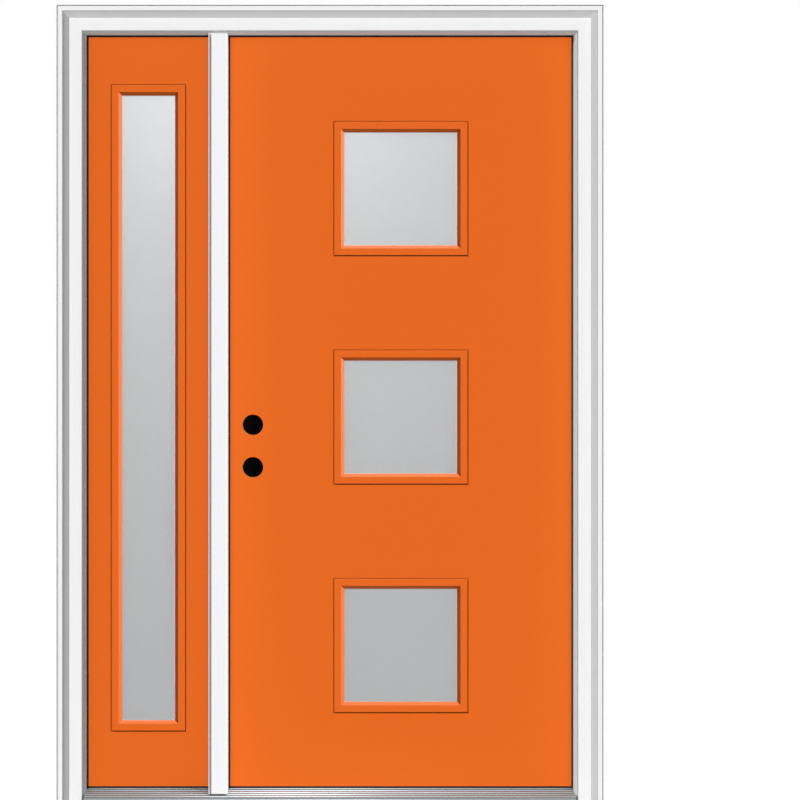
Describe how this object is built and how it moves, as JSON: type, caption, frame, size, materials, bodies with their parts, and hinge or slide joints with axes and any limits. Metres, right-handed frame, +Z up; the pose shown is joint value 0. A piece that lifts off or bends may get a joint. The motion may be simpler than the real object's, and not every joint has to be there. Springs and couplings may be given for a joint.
{
  "type": "prehung entry door",
  "caption": "Prehung steel entry door with a fixed sidelite, square frosted lites in a column, white brickmould and a ribbed aluminium sill; the slab swings inward on butt hinges.",
  "frame": {"origin": "on the sill's underside, under the middle of the unit, in the plane of the brickmould's back", "axes": "+X right as seen from outside, +Y into the building, +Z up"},
  "size_m": [1.415, 0.1638, 2.074],
  "materials": {
    "jamb_paint": "satin white paint on wood",
    "trim_paint": "satin white paint on wood",
    "sill_aluminium": "mill finish",
    "cap_aluminium": "mill finish",
    "sill_composite": "moulded composite",
    "seal_black": "matte black seal",
    "door_paint": "smooth orange paint",
    "lite_frame_paint": "smooth orange paint",
    "frosted_glass": "frosted",
    "spacer_aluminium": "mill finish",
    "hinge_steel": "satin plated",
    "core_wood": "bare softwood",
    "core_foam": "rigid foam",
    "cover_black": "matte black"
  },
  "bodies": {
    "frame": {"brickmould_head": "trim_paint", "brickmould_left": "trim_paint", "brickmould_right": "trim_paint", "head_jamb": "jamb_paint", "hinge_jamb": "jamb_paint", "hinge_leaf_frame_bottom": "hinge_steel", "hinge_leaf_frame_middle": "hinge_steel", "hinge_leaf_frame_top": "hinge_steel", "hinge_pins": "hinge_steel", "mullion_casing": "trim_paint", "mullion_post": "jamb_paint", "sidelite_bottom_gasket": "seal_black", "sidelite_cap": "cap_aluminium", "sidelite_core": "core_wood", "sidelite_gasket": "seal_black", "sidelite_glass": "frosted_glass", "sidelite_jamb": "jamb_paint", "sidelite_lite_exterior": "lite_frame_paint", "sidelite_lite_interior": "lite_frame_paint", "sidelite_skin_exterior": "door_paint", "sidelite_skin_interior": "door_paint", "sidelite_spacer": "spacer_aluminium", "sill_deck": "sill_aluminium", "sill_substrate": "sill_composite", "threshold_cap": "cap_aluminium", "weatherstrip_head": "seal_black", "weatherstrip_sides": "seal_black"},
    "door": {"bottom_rail": "core_wood", "door_skin_exterior": "door_paint", "door_skin_interior": "door_paint", "door_sweep": "seal_black", "foam_core": "core_foam", "glass_spacers": "spacer_aluminium", "hinge_leaf_door_bottom": "hinge_steel", "hinge_leaf_door_middle": "hinge_steel", "hinge_leaf_door_top": "hinge_steel", "hinge_stile": "core_wood", "lite_frame_exterior_bottom": "lite_frame_paint", "lite_frame_exterior_middle": "lite_frame_paint", "lite_frame_exterior_top": "lite_frame_paint", "lite_frame_interior_bottom": "lite_frame_paint", "lite_frame_interior_middle": "lite_frame_paint", "lite_frame_interior_top": "lite_frame_paint", "lite_glass_bottom": "frosted_glass", "lite_glass_middle": "frosted_glass", "lite_glass_top": "frosted_glass", "lock_block": "core_wood", "lock_bore_covers": "cover_black", "lock_stile": "core_wood", "top_rail": "core_wood"}
  },
  "joints": [
    {"name": "door_swing", "type": "hinge", "parent": "frame", "child": "door", "pos_m": [0.645, 0.1239, 1.0767], "axis": [0, 0, -1], "range_deg": [0, 180]}
  ]
}
